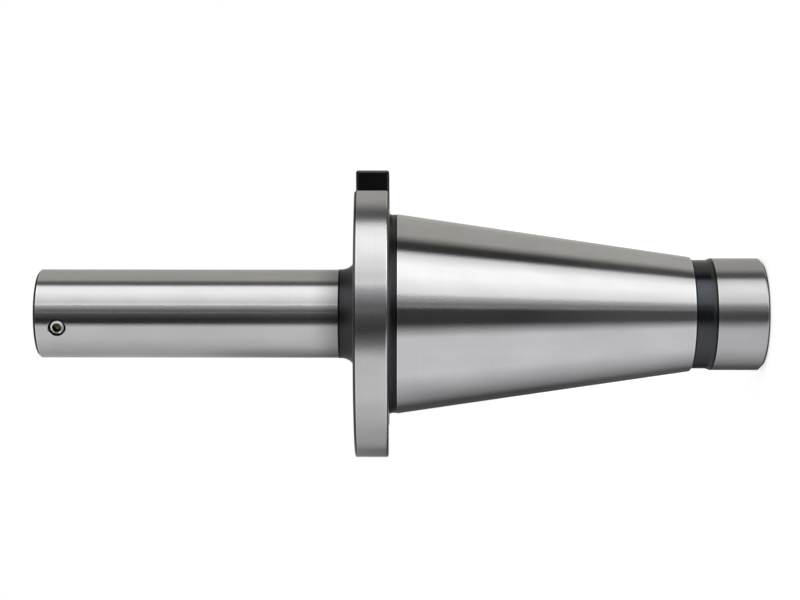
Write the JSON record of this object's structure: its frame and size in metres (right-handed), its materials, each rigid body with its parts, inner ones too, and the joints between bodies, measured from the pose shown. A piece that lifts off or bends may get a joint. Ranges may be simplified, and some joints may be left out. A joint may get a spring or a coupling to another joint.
{
  "type": "boring head arbor",
  "caption": "Steep taper arbor with a slotted drive flange and a slender nose, whose end socket takes a boring head held by a cone point clamp screw.",
  "frame": {"origin": "on the axis, in the gauge plane of the 7:24 taper", "axes": "+Z along the axis towards the nose, +X and -X through the middles of the drive slots, -Y through the clamp screw. The arbor stands on its tail end."},
  "size_m": [0.0962, 0.1, 0.2516],
  "materials": {
    "arbor_steel": "hardened steel, fine ground on the taper, rim, nose and tail pilot, black oxide elsewhere",
    "screw_steel": "hardened steel, oiled black oxide, worn bright on the end chamfer"
  },
  "bodies": {
    "arbor": {"arbor_body": "arbor_steel"},
    "clamp_screw": {"clamp_screw": "screw_steel"}
  },
  "joints": [
    {"name": "clamp_screw_travel", "type": "slide", "parent": "arbor", "child": "clamp_screw", "axis": [0, 1, 0], "range_m": [0, 0.0025]}
  ]
}
